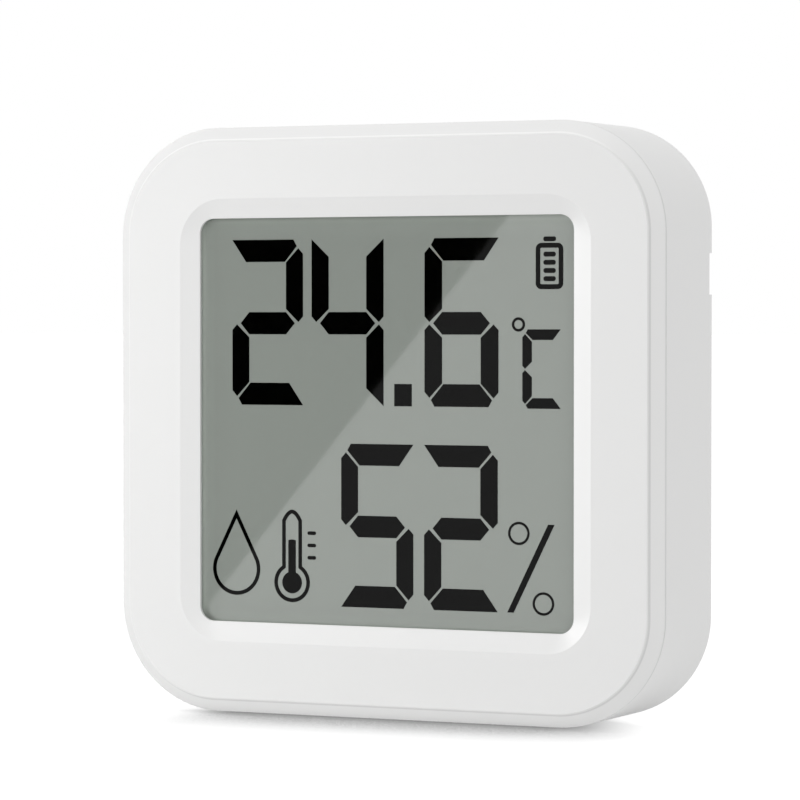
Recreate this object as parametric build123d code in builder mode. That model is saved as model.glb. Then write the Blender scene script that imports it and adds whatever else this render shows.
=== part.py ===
# Small square temperature and humidity sensor with a segment display and a coin cell.
# Millimetres. +Z is up, the front faces -Y and +X is to the right, seen from the front.
# The origin is the middle of the base. Depths are measured back from the front face.
import os

from build123d import *

os.makedirs("parts", exist_ok=True)

# Sides of the small or hidden rounds, which there are many of
small_round_sides = 16
hidden_ring_sides = 40

# Window: the bevel that leads into it, and the lip that the lens sits behind
window_width = 29.65
window_height = 29.65
window_corner = 1.10
bevel_width = 1.435
bevel_depth = 0.39
bevel_corner = 3.40
lip_thickness = 0.25

# Housing: white border round the window, walls and edges
border_width = 6.675
corner_radius = 7.95
side_wall = 1.5
rear_corner_radius = 7.35
back_edge_radius = 1.8
seam_gap = 0.05
seam_chamfer = 0.08
seam_land = 0.4

# Rim of the front face, and the fine step round it
rim_depth = 0.95
rim_land = 0.14
face_inset = 0.955
face_step = 0.16
face_edge_chamfer = 0.09

# Lens
lens_recess = 0.03
lens_clearance = 0.05
lens_flange = 0.90
lens_flange_thickness = 0.40

# Display stack
display_gap = 0.03
polariser_thickness = 0.18
polariser_overlap = 0.65
glass_thickness = 0.55
glass_overlap = 1.20
contact_ledge = 2.60
foam_thickness = 0.42
foam_inset = 1.60
holder_thickness = 1.15
holder_side_bar = 4.5
holder_end_bar = 7.5

# Elastomer strips between the display's ledges and the board
strip_end_gap = 2.0
strip_width = 1.40
strip_clearance = 0.06
pad_count = 14
pad_width = 1.00
pad_thickness = 0.04

# Skirt of the bezel, its snap beads, ribs and screw posts
skirt_clearance = 0.05
skirt_thickness = 0.80
skirt_depth = 2.75
bead_height = 0.25
bead_width = 0.90
bead_length = 6.0
bead_corner_gap = 3.0
bead_clearance = 0.05
rib_length = 8.0
rib_thickness = 0.80
rib_clearance = 0.10
rib_depth = 2.20
post_radius = 1.60
post_wall_gap = 0.40
post_end_gap = 8.5
post_floor = 0.50

# Board and its screws
board_thickness = 0.80
board_clearance = 0.40
screw_radius = 0.60
screw_hole_clearance = 0.20
screw_head_radius = 1.30
screw_head_height = 0.70
thread_clearance = 0.04
peg_radius = 0.75
peg_clearance = 0.08
peg_rise = 4.5

# Coin cell
cell_radius = 10.0
cell_height = 3.20
cell_lift = 2.50
cell_wall = 0.25
cell_edge = 0.35
cell_cap_radius = 8.85
cell_cap_step = 0.25
cell_cap_skirt = 1.70
gasket_thickness = 0.30
crimp_gap = 0.55

# Cell well and the floor that it opens from
cover_thickness = 1.20
cell_cover_gap = 0.20
well_clearance = 0.30
well_wall = 1.10
well_seat_width = 1.70
well_seat_thickness = 0.55
well_seat_clearance = 0.05
floor_thickness = 1.20
contact_slot_width = 5.40
scoop_radius = 3.4
scoop_depth = 2.2

# Rear cover
cover_margin = 3.25
cover_corner = 5.20
cover_clearance = 0.10
cover_edge = 0.20
hook_inset = 1.95
hook_rise = 6.0
hook_width = 5.0
hook_thickness = 1.0
hook_length = 2.3
hook_bead = 0.25
hook_clearance = 0.10
cover_pad_spread = 5.6
cover_pad_size = 2.4
cover_pad_height = 0.12

# Pry notch in the right rear edge
notch_width = 3.0
notch_depth = 2.0
notch_end_gap = 7.45
notch_undercut = 0.70

# Vent slots in the left wall, beside the sensor
vent_count = 5
vent_width = 0.90
vent_corner = 0.25
vent_pitch = 1.90
vent_front_gap = 0.10
vent_back_gap = 0.80

# Humidity sensor
sensor_size = 3.0
sensor_height = 1.10
sensor_edge_gap = 2.30
sensor_rise = 1.0
sensor_opening = 1.0
isolation_slot = 0.80
isolation_gap = 0.90

# Push switch and button cap
button_end_gap = 5.0
button_cell_gap = 5.4
button_radius = 2.0
button_recess = 0.15
button_cover_clearance = 0.30
button_guide_clearance = 0.10
button_guide_wall = 1.20
button_guide_length = 1.0
button_flange_radius = 2.75
button_flange_thickness = 0.60
button_stop_gap = 0.05
button_pin_radius = 1.20
button_pin_length = 0.35
button_edge = 0.20
switch_width = 6.0
switch_depth = 3.6
switch_corner = 0.30
plunger_radius = 1.0
plunger_clearance = 0.05
plunger_stand = 0.50
plunger_length = 1.30
plunger_edge = 0.12

# Electronics on the board, each with its gaps to the nearest side and end of the board
chip_radius = 3.4
chip_height = 1.05
chip_taper = 50.0
chip_side_gap = 8.7
chip_end_gap = 6.4
crystal_radius = 0.95
crystal_length = 6.0
crystal_side_gap = 10.2
crystal_end_gap = 4.4
crystal_lead_radius = 0.14
crystal_lead_reach = 1.6
crystal_lead_foot = 0.8
crystal_edge = 0.20
small_part_length = 1.60
small_part_width = 0.80
small_part_height = 0.55
small_part_pitch = 1.60
small_part_side_gap = 7.0
small_part_end_gap = 4.6
resistor_count = 4
capacitor_count = 3

# Battery contacts, stamped from sheet
contact_thickness = 0.20
contact_clearance = 0.04
negative_width = 3.6
negative_foot = 3.2
negative_run = 3.6
negative_top = 1.2
negative_tail = 2.0
negative_tail_drop = 0.7
positive_width = 3.6
positive_foot = 2.6
positive_touch = 1.2
positive_flare = 0.5
positive_flare_rise = 0.7

# Depths that follow from the sizes above
lip_back = bevel_depth + lip_thickness
lens_front = bevel_depth + lens_recess
lens_back = lip_back + lens_flange_thickness
display_front = lens_back + display_gap
plate_back = display_front + polariser_thickness
front_glass_back = plate_back + glass_thickness
rear_glass_back = front_glass_back + glass_thickness
rear_polariser_back = rear_glass_back + polariser_thickness
foam_back = rear_polariser_back + foam_thickness
board_front = foam_back + holder_thickness
board_back = board_front + board_thickness
cell_front = board_back + cell_lift
cell_back = cell_front + cell_height
cover_inside = cell_back + cell_cover_gap
body_depth = cover_inside + cover_thickness
floor_front = cover_inside - floor_thickness
seat_back = cell_front - well_seat_clearance
seat_front = seat_back - well_seat_thickness
guide_front = floor_front - button_guide_length
flange_back = guide_front - button_stop_gap
flange_front = flange_back - button_flange_thickness
plunger_back = flange_front - button_pin_length
switch_back = plunger_back - plunger_stand
button_back = body_depth - button_recess

# Widths and heights that follow from the sizes above
body_width = window_width + 2 * border_width
body_height = window_height + 2 * border_width
inner_width = body_width - 2 * side_wall
inner_height = body_height - 2 * side_wall
inner_corner = corner_radius - side_wall
skirt_width = inner_width - 2 * skirt_clearance
skirt_height = inner_height - 2 * skirt_clearance
skirt_corner = inner_corner - skirt_clearance
face_width = body_width - 2 * face_inset
face_height = body_height - 2 * face_inset
face_corner = corner_radius - face_inset
lens_width = window_width + 2 * lens_flange
lens_height = window_height + 2 * lens_flange
lens_corner = window_corner + lens_flange
glass_width = window_width + 2 * glass_overlap
rear_glass_height = window_height + glass_overlap
front_glass_height = rear_glass_height + 2 * contact_ledge
polariser_width = window_width + 2 * polariser_overlap
polariser_height = window_height + polariser_overlap
polariser_corner = window_corner + polariser_overlap
strip_length = glass_width - 2 * strip_end_gap
strip_rise = (rear_glass_height + contact_ledge) / 2
holder_window_width = glass_width - 2 * holder_side_bar
holder_window_height = front_glass_height - 2 * holder_end_bar
bead_spacing = inner_width - 2 * inner_corner - bead_length - 2 * bead_corner_gap
board_width = inner_width - 2 * board_clearance
board_height = inner_height - 2 * board_clearance
board_corner = inner_corner - board_clearance
post_spread = inner_width / 2 - post_wall_gap - post_radius
post_rise = inner_height / 2 - post_end_gap
cover_width = body_width - 2 * cover_margin - 2 * cover_clearance
cover_height = body_height - 2 * cover_margin - 2 * cover_clearance
hook_spread = cover_width / 2 - hook_inset
notch_rise = cover_height / 2 - notch_end_gap
button_rise = cover_height / 2 - button_end_gap
cell_rise = button_rise - button_cell_gap - cell_radius
well_radius = cell_radius + well_clearance
sensor_place = (sensor_size / 2 + sensor_edge_gap - board_width / 2, sensor_rise)
chip_place = (board_width / 2 - chip_side_gap, board_height / 2 - chip_end_gap)
crystal_place = (crystal_side_gap - board_width / 2, board_height / 2 - crystal_end_gap)
resistor_place = (small_part_side_gap - board_width / 2, small_part_end_gap - board_height / 2)
capacitor_place = (board_width / 2 - small_part_side_gap, small_part_end_gap - board_height / 2)
post_points = [(x * post_spread, y * post_rise) for x in (-1, 1) for y in (-1, 1)]
peg_spread = (holder_window_width + glass_width) / 4
peg_points = [(-peg_spread, -peg_rise), (peg_spread, peg_rise)]
cell_middle = (0, cell_rise)
button_middle = (0, button_rise)


def behind(depth):
    """Plane parallel to the front face, this far behind it; x is right and y is up."""
    middle = (0, depth - body_depth / 2, body_height / 2)
    return Plane(origin=middle, x_dir=(1, 0, 0), z_dir=(0, -1, 0))


def across(outward, along=0.0):
    """Plane square to a side wall: x runs outwards from the middle and y runs back."""
    run = Vector(*outward).cross(Vector(0, 1, 0))
    middle = Vector(0, -body_depth / 2, body_height / 2) + run * along
    return Plane(origin=middle, x_dir=outward, z_dir=run)


def rounded_slab(front, back, width, height, radius, mode=Mode.ADD):
    """Rounded plate between two depths, added to or cut from the part being built."""
    with BuildSketch(behind(back)) as outline:
        RectangleRounded(width, height, radius)
    extrude(outline.sketch, amount=back - front, mode=mode)


def disc(front, back, radius, middle=(0, 0), mode=Mode.ADD):
    """Round plate between two depths."""
    with BuildSketch(behind(back)) as outline:
        with Locations(middle):
            Circle(radius)
    extrude(outline.sketch, amount=back - front, mode=mode)


def many_sided(front, back, radius, middle=(0, 0), mode=Mode.ADD, sides=small_round_sides):
    """Nearly round plate: a post lies inside the radius, and a hole outside it."""
    with BuildSketch(behind(back)) as outline:
        with Locations(middle):
            RegularPolygon(radius, sides, major_radius=(mode == Mode.ADD))
    extrude(outline.sketch, amount=back - front, mode=mode)


def block(front, back, width, height, middle=(0, 0), mode=Mode.ADD):
    """Square-cornered plate between two depths."""
    with BuildSketch(behind(back)) as outline:
        with Locations(middle):
            Rectangle(width, height)
    extrude(outline.sketch, amount=back - front, mode=mode)


def snap_runs():
    """Middle of each snap bead: the side that it is on and its place along it."""
    for outward in ((0, 0, 1), (0, 0, -1)):
        for along in (-bead_spacing / 2, bead_spacing / 2):
            yield outward, along, inner_height / 2
    for outward in ((1, 0, 0), (-1, 0, 0)):
        yield outward, 0.0, inner_width / 2


bead_middle = (skirt_depth + rim_depth) / 2 + bead_clearance


# Front bezel: rim, face, window, skirt and what is moulded behind it
with BuildPart() as front_bezel:
    rounded_slab(rim_depth - rim_land, rim_depth, body_width, body_height, corner_radius)
    seam_edges = front_bezel.edges().group_by(Axis.Y)[-1]
    chamfer(seam_edges, length=seam_chamfer)
    with BuildSketch(behind(rim_depth - rim_land)):
        RectangleRounded(body_width, body_height, corner_radius)
    with BuildSketch(behind(face_step)):
        RectangleRounded(face_width, face_height, face_corner)
    loft()
    rounded_slab(0, face_step, face_width, face_height, face_corner)
    face_edges = front_bezel.edges().group_by(Axis.Y)[0]
    chamfer(face_edges, length=face_edge_chamfer)

    # Skirt that enters the rear shell
    rounded_slab(rim_depth, skirt_depth, skirt_width, skirt_height, skirt_corner)
    rounded_slab(
        plate_back,
        skirt_depth,
        skirt_width - 2 * skirt_thickness,
        skirt_height - 2 * skirt_thickness,
        skirt_corner - skirt_thickness,
        mode=Mode.SUBTRACT,
    )
    for outward, along, wall_place in snap_runs():
        with BuildSketch(across(outward, along)):
            with BuildLine():
                Polyline(
                    (wall_place - skirt_clearance - bead_height, bead_middle - bead_width / 2),
                    (wall_place - skirt_clearance, bead_middle - bead_width / 2),
                    (wall_place - skirt_clearance + bead_height, bead_middle),
                    (wall_place - skirt_clearance, bead_middle + bead_width / 2),
                    (wall_place - skirt_clearance - bead_height, bead_middle + bead_width / 2),
                    close=True,
                )
            make_face()
        extrude(amount=bead_length / 2, both=True)

    # Ribs that place the display, and posts that carry the board
    for side in (-1, 1):
        rib_x = side * (glass_width / 2 + rib_clearance + rib_thickness / 2)
        rib_y = side * (front_glass_height / 2 + rib_clearance + rib_thickness / 2)
        block(plate_back, rib_depth, rib_thickness, rib_length, (rib_x, 0))
        block(plate_back, rib_depth, rib_length, rib_thickness, (0, rib_y))
    for point in post_points:
        many_sided(plate_back, board_front, post_radius, point)
        many_sided(
            plate_back + post_floor,
            board_front,
            screw_radius + thread_clearance,
            point,
            mode=Mode.SUBTRACT,
        )

    # Window: bevel, lip and the pocket for the lens
    with BuildSketch(behind(0)):
        RectangleRounded(window_width + 2 * bevel_width, window_height + 2 * bevel_width, bevel_corner)
    with BuildSketch(behind(bevel_depth)):
        RectangleRounded(window_width, window_height, window_corner)
    loft(ruled=True, mode=Mode.SUBTRACT)
    rounded_slab(bevel_depth, lip_back, window_width, window_height, window_corner, mode=Mode.SUBTRACT)
    rounded_slab(
        lip_back,
        plate_back,
        lens_width + 2 * lens_clearance,
        lens_height + 2 * lens_clearance,
        lens_corner + lens_clearance,
        mode=Mode.SUBTRACT,
    )
front_bezel.part.label = "front_bezel"
export_step(front_bezel.part, "parts/front_bezel.step")


# Lens: the raised middle fills the window and the flange sits behind the lip
with BuildPart() as window_lens:
    rounded_slab(
        lens_front,
        lip_back,
        window_width - 2 * lens_clearance,
        window_height - 2 * lens_clearance,
        window_corner - lens_clearance,
    )
    rounded_slab(lip_back, lens_back, lens_width, lens_height, lens_corner)
window_lens.part.label = "window_lens"
export_step(window_lens.part, "parts/window_lens.step")


# Display: two glasses between two polarisers, the front glass with a contact ledge at each end
with BuildPart() as front_polariser:
    rounded_slab(display_front, plate_back, polariser_width, polariser_height, polariser_corner)
front_polariser.part.label = "front_polariser"
export_step(front_polariser.part, "parts/front_polariser.step")

with BuildPart() as lcd_front_glass:
    block(plate_back, front_glass_back, glass_width, front_glass_height)
lcd_front_glass.part.label = "lcd_front_glass"
export_step(lcd_front_glass.part, "parts/lcd_front_glass.step")

with BuildPart() as lcd_rear_glass:
    block(front_glass_back, rear_glass_back, glass_width, rear_glass_height)
lcd_rear_glass.part.label = "lcd_rear_glass"
export_step(lcd_rear_glass.part, "parts/lcd_rear_glass.step")

with BuildPart() as rear_polariser:
    rounded_slab(rear_glass_back, rear_polariser_back, polariser_width, polariser_height, polariser_corner)
rear_polariser.part.label = "rear_polariser"
export_step(rear_polariser.part, "parts/rear_polariser.step")

with BuildPart() as lcd_backing_foam:
    block(
        rear_polariser_back,
        foam_back,
        polariser_width - 2 * foam_inset,
        polariser_height - 2 * foam_inset,
    )
lcd_backing_foam.part.label = "lcd_backing_foam"
export_step(lcd_backing_foam.part, "parts/lcd_backing_foam.step")


# Holder: frame behind the display, with a slot at each end for an elastomer strip
with BuildPart() as lcd_holder:
    block(foam_back, board_front, glass_width, front_glass_height)
    end_height = (front_glass_height - rear_glass_height) / 2 - strip_clearance
    for side in (-1, 1):
        end_middle = side * (front_glass_height - end_height) / 2
        block(front_glass_back + strip_clearance, foam_back, glass_width, end_height, (0, end_middle))
        block(
            front_glass_back,
            board_front,
            strip_length + 2 * strip_clearance,
            strip_width + 2 * strip_clearance,
            (0, side * strip_rise),
            mode=Mode.SUBTRACT,
        )
    block(foam_back, board_front, holder_window_width, holder_window_height, mode=Mode.SUBTRACT)
    for point in peg_points:
        many_sided(board_front, board_back, peg_radius, point)
lcd_holder.part.label = "lcd_holder"
export_step(lcd_holder.part, "parts/lcd_holder.step")


# Elastomer strips that carry the signals from the board to the glass
with BuildPart() as upper_zebra_strip:
    block(front_glass_back, board_front - pad_thickness, strip_length, strip_width, (0, strip_rise))
upper_zebra_strip.part.label = "upper_zebra_strip"
export_step(upper_zebra_strip.part, "parts/upper_zebra_strip.step")

with BuildPart() as lower_zebra_strip:
    block(front_glass_back, board_front - pad_thickness, strip_length, strip_width, (0, -strip_rise))
lower_zebra_strip.part.label = "lower_zebra_strip"
export_step(lower_zebra_strip.part, "parts/lower_zebra_strip.step")

with BuildPart() as board_contact_pads:
    with BuildSketch(behind(board_front)):
        for side in (-1, 1):
            with Locations((0, side * strip_rise)):
                with GridLocations(strip_length / pad_count, 0, pad_count, 1):
                    Rectangle(pad_width, strip_width)
    extrude(amount=pad_thickness)
board_contact_pads.part.label = "board_contact_pads"
export_step(board_contact_pads.part, "parts/board_contact_pads.step")


# Circuit board, with screw holes, peg holes and the slot that shields the sensor from heat
with BuildPart() as circuit_board:
    rounded_slab(board_front, board_back, board_width, board_height, board_corner)
    for point in post_points:
        many_sided(board_front, board_back, screw_radius + screw_hole_clearance, point, mode=Mode.SUBTRACT)
    for point in peg_points:
        many_sided(board_front, board_back, peg_radius + peg_clearance, point, mode=Mode.SUBTRACT)
    with BuildSketch(behind(board_back)):
        with BuildLine():
            slot_x = sensor_place[0] + sensor_size / 2 + isolation_gap
            slot_y = sensor_size / 2 + isolation_gap
            Polyline(
                (sensor_place[0] - sensor_size / 2, sensor_place[1] + slot_y),
                (slot_x, sensor_place[1] + slot_y),
                (slot_x, sensor_place[1] - slot_y),
                (sensor_place[0] - sensor_size / 2, sensor_place[1] - slot_y),
            )
        trace(line_width=isolation_slot)
    extrude(amount=board_thickness, mode=Mode.SUBTRACT)
circuit_board.part.label = "circuit_board"
export_step(circuit_board.part, "parts/circuit_board.step")


# Screws: four alike, from behind the board into the bezel's posts
with BuildPart() as board_screws:
    for point in post_points:
        many_sided(board_back, board_back + screw_head_height, screw_head_radius, point)
        many_sided(plate_back + post_floor + thread_clearance, board_back, screw_radius, point)
board_screws.part.label = "board_screws"
export_step(board_screws.part, "parts/board_screws.step")


# Rear shell: side walls, floor, cell well, button guide, vents and pry notch
with BuildPart() as rear_shell:
    seam_land_back = rim_depth + seam_gap + seam_land
    rounded_slab(rim_depth + seam_gap, seam_land_back, body_width, body_height, corner_radius)
    seam_edges = rear_shell.edges().group_by(Axis.Y)[0]
    chamfer(seam_edges, length=seam_chamfer)
    with BuildSketch(behind(seam_land_back)):
        RectangleRounded(body_width, body_height, corner_radius)
    with BuildSketch(behind(body_depth)):
        RectangleRounded(body_width, body_height, rear_corner_radius)
    loft()
    back_edges = rear_shell.edges().group_by(Axis.Y)[-1]
    fillet(back_edges, radius=back_edge_radius)
    rounded_slab(
        rim_depth + seam_gap, floor_front, inner_width, inner_height, inner_corner, mode=Mode.SUBTRACT
    )
    for outward, along, wall_place in snap_runs():
        with BuildSketch(across(outward, along)):
            with BuildLine():
                reach = bead_height + bead_clearance
                half = bead_width / 2 + bead_clearance
                Polyline(
                    (wall_place - side_wall / 2, bead_middle - half),
                    (wall_place - skirt_clearance, bead_middle - half),
                    (wall_place - skirt_clearance + reach, bead_middle),
                    (wall_place - skirt_clearance, bead_middle + half),
                    (wall_place - side_wall / 2, bead_middle + half),
                    close=True,
                )
            make_face()
        extrude(amount=bead_length / 2 + bead_clearance, both=True, mode=Mode.SUBTRACT)

    # Recess for the cover
    rounded_slab(
        cover_inside,
        body_depth,
        cover_width + 2 * cover_clearance,
        cover_height + 2 * cover_clearance,
        cover_corner + cover_clearance,
        mode=Mode.SUBTRACT,
    )

    # Cell well: ring, seat and finger scoop
    many_sided(seat_front, floor_front, well_radius + well_wall, cell_middle, sides=hidden_ring_sides)
    many_sided(
        seat_front,
        seat_back,
        well_radius - well_seat_width,
        cell_middle,
        mode=Mode.SUBTRACT,
        sides=hidden_ring_sides,
    )
    disc(seat_back, cover_inside, well_radius, cell_middle, mode=Mode.SUBTRACT)
    block(
        seat_front,
        floor_front,
        well_wall * 3,
        contact_slot_width,
        (well_radius + well_wall, cell_rise),
        mode=Mode.SUBTRACT,
    )
    disc(
        cover_inside - scoop_depth,
        cover_inside,
        scoop_radius,
        (-well_radius, cell_rise),
        mode=Mode.SUBTRACT,
    )

    # Button guide
    guide_size = 2 * (button_radius + button_guide_clearance + button_guide_wall)
    block(guide_front, floor_front, guide_size, guide_size, button_middle)
    disc(
        guide_front,
        cover_inside,
        button_radius + button_guide_clearance,
        button_middle,
        mode=Mode.SUBTRACT,
    )

    # Slots for the cover's hooks
    with BuildSketch(behind(cover_inside)):
        with GridLocations(2 * hook_spread, 2 * hook_rise, 2, 2):
            Rectangle(hook_thickness + hook_bead + 2 * hook_clearance, hook_width + 2 * hook_clearance)
    extrude(amount=floor_thickness, mode=Mode.SUBTRACT)

    # Pry notch, from the right rear edge to under the cover
    notch_start = cover_width / 2 - notch_undercut
    block(
        body_depth - notch_depth,
        body_depth,
        body_width / 2 - notch_start,
        notch_width,
        ((body_width / 2 + notch_start) / 2, notch_rise),
        mode=Mode.SUBTRACT,
    )

    # Vent slots
    vent_start = board_front + vent_front_gap
    vent_end = floor_front - vent_back_gap
    vent_middle = (vent_start + vent_end - body_depth) / 2
    vent_plane = Plane(
        origin=(-body_width / 2, vent_middle, body_height / 2 + sensor_rise),
        x_dir=(0, -1, 0),
        z_dir=(-1, 0, 0),
    )
    with BuildSketch(vent_plane) as vents:
        with GridLocations(0, vent_pitch, 1, vent_count):
            Rectangle(vent_end - vent_start, vent_width)
        chamfer(vents.vertices(), length=vent_corner)
    extrude(amount=-side_wall, mode=Mode.SUBTRACT)
rear_shell.part.label = "rear_shell"
export_step(rear_shell.part, "parts/rear_shell.step")


# Rear cover: flush plate with four hooks, pads over the cell and a hole for the button
with BuildPart() as rear_cover:
    rounded_slab(cover_inside, body_depth, cover_width, cover_height, cover_corner)
    outer_edges = rear_cover.edges().group_by(Axis.Y)[-1]
    chamfer(outer_edges, length=cover_edge)
    for side in (-1, 1):
        for rise in (-hook_rise, hook_rise):
            with BuildSketch(across((side, 0, 0), -side * rise)):
                with BuildLine():
                    inner = hook_spread - (hook_thickness + hook_bead) / 2
                    outer = inner + hook_thickness
                    tip = cover_inside - hook_length
                    Polyline(
                        (inner, cover_inside),
                        (outer, cover_inside),
                        (outer, floor_front),
                        (outer + hook_bead, floor_front - hook_bead),
                        (outer, tip),
                        (inner, tip),
                        close=True,
                    )
                make_face()
            extrude(amount=hook_width / 2, both=True)
    with BuildSketch(behind(cover_inside)):
        with Locations(cell_middle):
            with GridLocations(2 * cover_pad_spread, 2 * cover_pad_spread, 2, 2):
                Rectangle(cover_pad_size, cover_pad_size)
    extrude(amount=cover_pad_height)
    disc(cover_inside, body_depth, button_radius + button_cover_clearance, button_middle, mode=Mode.SUBTRACT)
rear_cover.part.label = "rear_cover"
export_step(rear_cover.part, "parts/rear_cover.step")


# Push switch on the board, and the cap that is pressed from the back
with BuildPart() as switch_body:
    block(board_back, switch_back, switch_width, switch_depth, button_middle)
    upright_edges = switch_body.edges().filter_by(Axis.Y)
    chamfer(upright_edges, length=switch_corner)
    many_sided(
        plunger_back - plunger_length - plunger_stand,
        switch_back,
        plunger_radius + plunger_clearance,
        button_middle,
        mode=Mode.SUBTRACT,
    )
switch_body.part.label = "switch_body"
export_step(switch_body.part, "parts/switch_body.step")

with BuildPart() as switch_plunger:
    many_sided(plunger_back - plunger_length, plunger_back, plunger_radius, button_middle)
    top_edges = switch_plunger.edges().group_by(Axis.Y)[-1]
    chamfer(top_edges, length=plunger_edge)
switch_plunger.part.label = "switch_plunger"
export_step(switch_plunger.part, "parts/switch_plunger.step")

with BuildPart() as button_cap:
    many_sided(plunger_back, flange_front, button_pin_radius, button_middle)
    many_sided(flange_front, flange_back, button_flange_radius, button_middle)
    disc(flange_back, button_back, button_radius, button_middle)
    top_edges = button_cap.edges().group_by(Axis.Y)[-1]
    chamfer(top_edges, length=button_edge)
button_cap.part.label = "button_cap"
export_step(button_cap.part, "parts/button_cap.step")


# Controller: a drop of black resin over the bare chip
with BuildPart() as controller_chip:
    with BuildSketch(behind(board_back)):
        with Locations(chip_place):
            RegularPolygon(chip_radius, small_round_sides)
    extrude(amount=-chip_height, taper=chip_taper)
controller_chip.part.label = "controller_chip"
export_step(controller_chip.part, "parts/controller_chip.step")


# Humidity sensor, with its small round opening
with BuildPart() as humidity_sensor:
    block(board_back, board_back + sensor_height, sensor_size, sensor_size, sensor_place)
    many_sided(
        board_back + sensor_height / 2,
        board_back + sensor_height,
        sensor_opening / 2,
        sensor_place,
        mode=Mode.SUBTRACT,
    )
humidity_sensor.part.label = "humidity_sensor"
export_step(humidity_sensor.part, "parts/humidity_sensor.step")


# Timing crystal: a can lying on the board, with its two leads bent down to it
with BuildPart() as timing_crystal:
    crystal_plane = Plane(
        origin=(
            crystal_place[0] - crystal_length / 2,
            board_back + crystal_radius - body_depth / 2,
            crystal_place[1] + body_height / 2,
        ),
        x_dir=(0, 0, 1),
        z_dir=(1, 0, 0),
    )
    with BuildSketch(crystal_plane):
        RegularPolygon(crystal_radius, small_round_sides)
    extrude(amount=crystal_length)
    chamfer(timing_crystal.edges().group_by(Axis.X)[-1], length=crystal_edge)
    for side in (-1, 1):
        lead_height = crystal_place[1] + side * crystal_radius / 2
        lead_start = crystal_place[0] - crystal_length / 2
        lead_plane = Plane(
            origin=(lead_start, board_back - body_depth / 2, lead_height + body_height / 2),
            x_dir=(-1, 0, 0),
            z_dir=(0, 0, -1),
        )
        with BuildSketch(lead_plane):
            with BuildLine():
                Polyline(
                    (0, crystal_radius),
                    (crystal_lead_reach / 2, crystal_radius),
                    (crystal_lead_reach, crystal_lead_radius),
                    (crystal_lead_reach + crystal_lead_foot, crystal_lead_radius),
                )
            trace(line_width=2 * crystal_lead_radius)
        extrude(amount=crystal_lead_radius, both=True)
timing_crystal.part.label = "timing_crystal"
export_step(timing_crystal.part, "parts/timing_crystal.step")


# Rows of small resistors and capacitors
with BuildPart() as resistors:
    with BuildSketch(behind(board_back)):
        with Locations(resistor_place):
            with GridLocations(small_part_pitch, 0, resistor_count, 1):
                Rectangle(small_part_width, small_part_length)
    extrude(amount=-small_part_height)
resistors.part.label = "resistors"
export_step(resistors.part, "parts/resistors.step")

with BuildPart() as capacitors:
    with BuildSketch(behind(board_back)):
        with Locations(capacitor_place):
            with GridLocations(small_part_pitch, 0, capacitor_count, 1):
                Rectangle(small_part_width, small_part_length)
    extrude(amount=-small_part_height)
capacitors.part.label = "capacitors"
export_step(capacitors.part, "parts/capacitors.step")


# Battery contacts: sheet metal leaves in a plane through the cell's middle
contact_plane = Plane(
    origin=(0, -body_depth / 2, body_height / 2 + cell_rise),
    x_dir=(1, 0, 0),
    z_dir=(0, 0, 1),
)
with BuildPart() as battery_contact_negative:
    with BuildSketch(contact_plane):
        with BuildLine():
            low = board_back + contact_thickness / 2
            high = cell_front - contact_thickness / 2 - contact_clearance
            foot_end = -negative_top / 2 - negative_run
            Polyline(
                (foot_end - negative_foot, low),
                (foot_end, low),
                (-negative_top / 2, high),
                (negative_top / 2, high),
                (negative_top / 2 + negative_tail, high - negative_tail_drop),
            )
        trace(line_width=contact_thickness)
    extrude(amount=negative_width / 2, both=True)
battery_contact_negative.part.label = "battery_contact_negative"
export_step(battery_contact_negative.part, "parts/battery_contact_negative.step")

with BuildPart() as battery_contact_positive:
    with BuildSketch(contact_plane):
        with BuildLine():
            low = board_back + contact_thickness / 2
            near = cell_radius + contact_thickness / 2 + contact_clearance
            outside = well_radius + well_wall + contact_thickness
            touch = floor_front - positive_touch
            Polyline(
                (outside + positive_foot, low),
                (outside, low),
                (outside, seat_back),
                (near, touch),
                (near + positive_flare, touch + positive_flare_rise),
            )
        trace(line_width=contact_thickness)
    extrude(amount=positive_width / 2, both=True)
battery_contact_positive.part.label = "battery_contact_positive"
export_step(battery_contact_positive.part, "parts/battery_contact_positive.step")


# Coin cell: the can faces the cover, and the cap faces the board inside the gasket
with BuildPart() as cell_can:
    disc(cell_front, cell_back, cell_radius, cell_middle)
    can_edges = cell_can.edges().group_by(Axis.Y)[-1]
    chamfer(can_edges, length=cell_edge)
    many_sided(
        cell_front + crimp_gap,
        cell_back - cell_wall,
        cell_radius - 2 * cell_wall,
        cell_middle,
        mode=Mode.SUBTRACT,
        sides=hidden_ring_sides,
    )
    many_sided(
        cell_front,
        cell_front + crimp_gap,
        cell_cap_radius + gasket_thickness,
        cell_middle,
        mode=Mode.SUBTRACT,
        sides=hidden_ring_sides,
    )
cell_can.part.label = "cell_can"
export_step(cell_can.part, "parts/cell_can.step")

with BuildPart() as cell_gasket:
    gasket_front = cell_front + cell_cap_step
    gasket_back = cell_back - cell_wall
    gasket_radius = cell_cap_radius + gasket_thickness
    many_sided(gasket_front, gasket_back, gasket_radius, cell_middle, sides=hidden_ring_sides)
    with BuildSketch(behind(gasket_back)) as gasket_hole:
        with Locations(cell_middle):
            RegularPolygon(cell_cap_radius, hidden_ring_sides)
    extrude(gasket_hole.sketch, amount=gasket_back - gasket_front, mode=Mode.SUBTRACT)
cell_gasket.part.label = "cell_gasket"
export_step(cell_gasket.part, "parts/cell_gasket.step")

with BuildPart() as cell_cap:
    cap_back = cell_front + cell_cap_skirt
    many_sided(cell_front, cap_back, cell_cap_radius, cell_middle, sides=hidden_ring_sides)
    many_sided(
        cell_front + cell_wall,
        cap_back,
        cell_cap_radius - 2 * cell_wall,
        cell_middle,
        mode=Mode.SUBTRACT,
        sides=hidden_ring_sides,
    )
cell_cap.part.label = "cell_cap"
export_step(cell_cap.part, "parts/cell_cap.step")
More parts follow.
